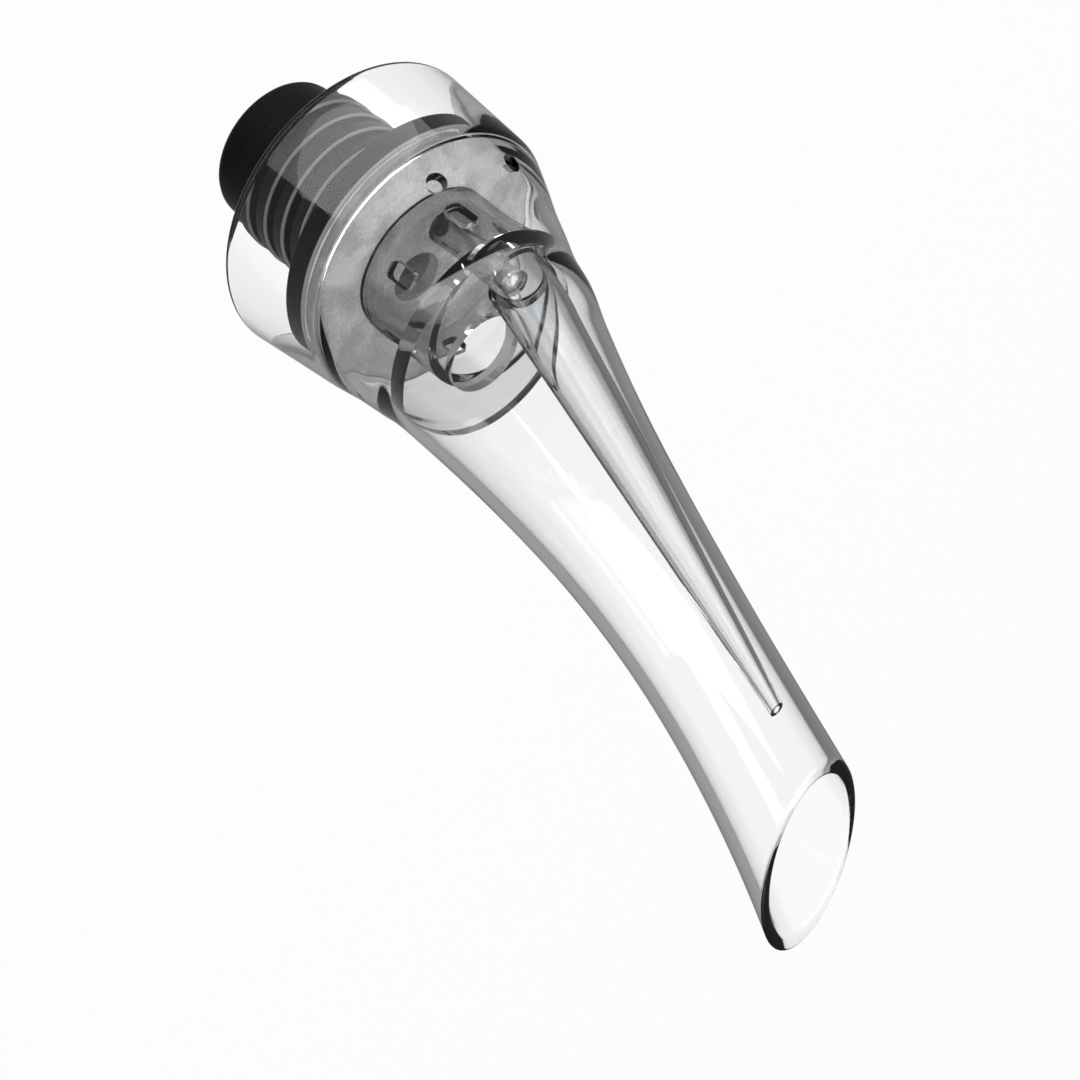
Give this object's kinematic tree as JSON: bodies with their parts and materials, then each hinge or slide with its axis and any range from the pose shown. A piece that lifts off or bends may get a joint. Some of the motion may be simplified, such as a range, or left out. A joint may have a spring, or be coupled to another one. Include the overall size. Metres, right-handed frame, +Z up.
{
  "type": "aerating wine pourer",
  "caption": "Clear aerating pourer with a ribbed stopper, a mixing chamber, an inner air tube and a long leaning spout cut on the slant.",
  "frame": {"origin": "centre of the flat underside of the stopper's flange, on the stopper's axis", "axes": "+Z up along the stopper's axis, out of the neck; +X is the side that the spout leans to and pours from; the part is its own mirror image across the XZ plane"},
  "size_m": [0.0593, 0.0408, 0.1231],
  "materials": {
    "clear_shell": "clear polished moulded acrylic",
    "clear_inner": "clear moulded acrylic",
    "frosted_plate": "pale translucent moulded plastic",
    "pale_seal": "pale translucent silicone",
    "black_rubber": "satin black silicone rubber"
  },
  "bodies": {
    "stopper": {"stopper": "black_rubber"},
    "core": {"inlet_plate": "frosted_plate", "mixing_chamber": "clear_inner", "seal_ring": "pale_seal", "vent_stem": "clear_inner"},
    "shell": {"spout_body": "clear_shell", "outlet_disc": "clear_inner", "air_tube": "clear_inner"}
  },
  "joints": [
    {"name": "core_lift", "type": "slide", "parent": "stopper", "child": "core", "axis": [0, 0, 1], "range_m": [0, 0.034]},
    {"name": "shell_lift", "type": "slide", "parent": "core", "child": "shell", "axis": [0, 0, 1], "range_m": [0, 0.03]}
  ]
}
